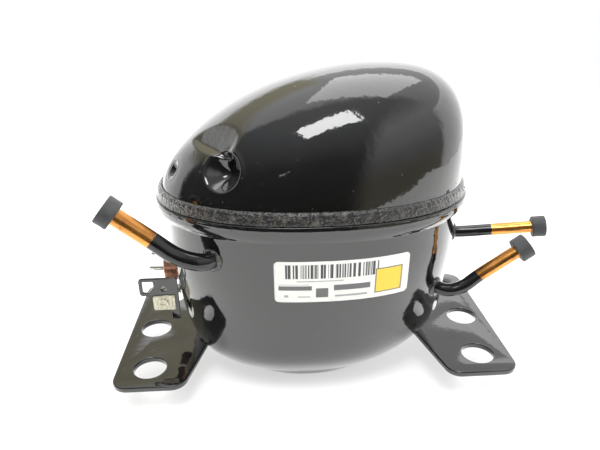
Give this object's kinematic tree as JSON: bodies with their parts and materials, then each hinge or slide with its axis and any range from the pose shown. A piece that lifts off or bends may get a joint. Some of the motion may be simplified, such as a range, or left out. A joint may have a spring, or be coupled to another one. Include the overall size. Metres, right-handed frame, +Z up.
{
  "type": "hermetic reciprocating compressor",
  "caption": "Sealed refrigeration compressor: a welded two-part steel housing on two foot plates, with a motor-driven piston pump hung on springs inside.",
  "frame": {"origin": "centre of the four mounting holes, on the underside of the base plates", "axes": "+Z up, +X along the long axis towards the process and discharge tubes, -Y the side with the rating label"},
  "size_m": [0.2187, 0.111, 0.1645],
  "materials": {
    "shell_paint": "gloss",
    "weld_paint": "gloss over a rough weld",
    "plate_paint": "gloss",
    "copper_tube": "polished copper, painted black near the shell",
    "cap_rubber": "matt",
    "terminal_metal": "dull copper plate",
    "terminal_glass": "fused glass",
    "pin_steel": "satin",
    "zinc_plate": "zinc plated",
    "label_film": "printed film",
    "pressed_steel": "oiled",
    "spring_steel": "oiled",
    "bearing_steel": "polished",
    "cage_polymer": "matt",
    "electrical_steel": "laminated",
    "magnet_wire": "varnished copper wire",
    "liner_film": "matt",
    "rotor_aluminium": "die cast",
    "grey_iron": "as cast",
    "sintered_steel": "oiled",
    "gasket_sheet": "matt",
    "muffler_polymer": "matt",
    "lead_sleeve": "matt",
    "line_copper": "drawn copper"
  },
  "bodies": {
    "housing": {"lower_shell": "shell_paint", "upper_shell": "shell_paint", "seam_weld": "weld_paint", "left_base_plate": "plate_paint", "right_base_plate": "plate_paint", "base_plate_welds": "shell_paint", "suction_tube": "copper_tube", "process_tube": "copper_tube", "discharge_tube": "copper_tube", "terminal_cup": "terminal_metal", "terminal_glass": "terminal_glass", "terminal_pins": "pin_steel", "terminal_fence_front": "shell_paint", "terminal_fence_rear": "shell_paint", "earth_tab": "zinc_plate", "earth_screw": "zinc_plate", "rating_label": "label_film", "spring_seats": "pressed_steel", "lower_grommets": "cage_polymer", "suspension_springs": "spring_steel", "lead_connector": "muffler_polymer"},
    "pump_unit": {"upper_grommets": "cage_polymer", "stator_core": "electrical_steel", "lower_winding": "magnet_wire", "upper_winding": "magnet_wire", "slot_liners": "liner_film", "stator_bolts": "zinc_plate", "crankcase": "grey_iron", "cylinder_gasket": "gasket_sheet", "suction_valve_sheet": "spring_steel", "valve_plate": "sintered_steel", "discharge_reed_stop": "spring_steel", "head_gasket": "gasket_sheet", "cylinder_head": "rotor_aluminium", "head_bolts": "zinc_plate", "suction_muffler": "muffler_polymer", "suction_muffler_neck": "muffler_polymer", "discharge_muffler": "pressed_steel", "discharge_line": "line_copper", "lower_thrust_washer": "pressed_steel", "stator_leads": "lead_sleeve"},
    "crank": {"crankshaft": "grey_iron", "counterweight": "grey_iron", "oil_pickup": "pressed_steel", "rotor_core": "electrical_steel", "rotor_end_rings": "rotor_aluminium", "upper_thrust_washer": "pressed_steel"},
    "thrust_bearing": {"thrust_cage": "cage_polymer", "thrust_balls": "bearing_steel"},
    "slide_block": {"slide_block": "sintered_steel"},
    "gallery_plug": {"oil_gallery_plug": "bearing_steel"},
    "piston": {"scotch_yoke": "sintered_steel", "piston": "grey_iron", "piston_pin": "bearing_steel"},
    "suction_reed": {"suction_reed": "spring_steel"},
    "discharge_reed": {"discharge_reed": "spring_steel"},
    "suction_cap": {"suction_cap": "cap_rubber"},
    "process_cap": {"process_cap": "cap_rubber"},
    "discharge_cap": {"discharge_cap": "cap_rubber"}
  },
  "joints": [
    {"name": "suspension_float", "type": "slide", "parent": "housing", "child": "pump_unit", "axis": [0, 0, 1], "range_m": [-0.003, 0.0015], "stiffness_N_per_m": 16000, "springref_m": 0.00123, "deforming": ["suspension_springs"]},
    {"name": "crank_spin", "type": "hinge", "parent": "pump_unit", "child": "crank", "pos_m": [-0.008, 0, 0.068], "axis": [0, 0, 1], "continuous": true},
    {"name": "thrust_cage_spin", "type": "hinge", "parent": "pump_unit", "child": "thrust_bearing", "pos_m": [-0.008, 0, 0.0685], "axis": [0, 0, 1], "continuous": true},
    {"name": "slide_block_turn", "type": "hinge", "parent": "crank", "child": "slide_block", "pos_m": [0, 0, 0.089], "axis": [0, 0, 1], "continuous": true},
    {"name": "gallery_plug_turn", "type": "hinge", "parent": "crank", "child": "gallery_plug", "pos_m": [-0.004, 0, 0.075], "axis": [0, 0, 1], "continuous": true},
    {"name": "piston_drive", "type": "hinge", "parent": "gallery_plug", "child": "piston", "pos_m": [0, 0, 0.089], "axis": [0, 0, 1], "continuous": true},
    {"name": "suction_reed_flex", "type": "hinge", "parent": "pump_unit", "child": "suction_reed", "pos_m": [0.0406, 0.0049, 0.096], "axis": [0, 1, 0], "range_deg": [0, 4], "stiffness_Nm_per_rad": 0.002},
    {"name": "discharge_reed_flex", "type": "hinge", "parent": "pump_unit", "child": "discharge_reed", "pos_m": [0.0436, -0.005, 0.094], "axis": [0, -1, 0], "range_deg": [0, 4], "stiffness_Nm_per_rad": 0.002},
    {"name": "suction_cap_pull", "type": "slide", "parent": "housing", "child": "suction_cap", "axis": [-0.7748, 0, 0.6323], "range_m": [0, 0.014]},
    {"name": "process_cap_pull", "type": "slide", "parent": "housing", "child": "process_cap", "axis": [0.8231, 0.0315, 0.5671], "range_m": [0, 0.014]},
    {"name": "discharge_cap_pull", "type": "slide", "parent": "housing", "child": "discharge_cap", "axis": [0.9603, -0.2354, 0.1498], "range_m": [0, 0.014]}
  ],
  "couplings": [
    {"joint": "thrust_cage_spin", "follows": "crank_spin", "ratio": 0.5},
    {"joint": "slide_block_turn", "follows": "crank_spin", "ratio": -1},
    {"joint": "gallery_plug_turn", "follows": "crank_spin", "ratio": -2},
    {"joint": "piston_drive", "follows": "crank_spin", "ratio": 1}
  ]
}
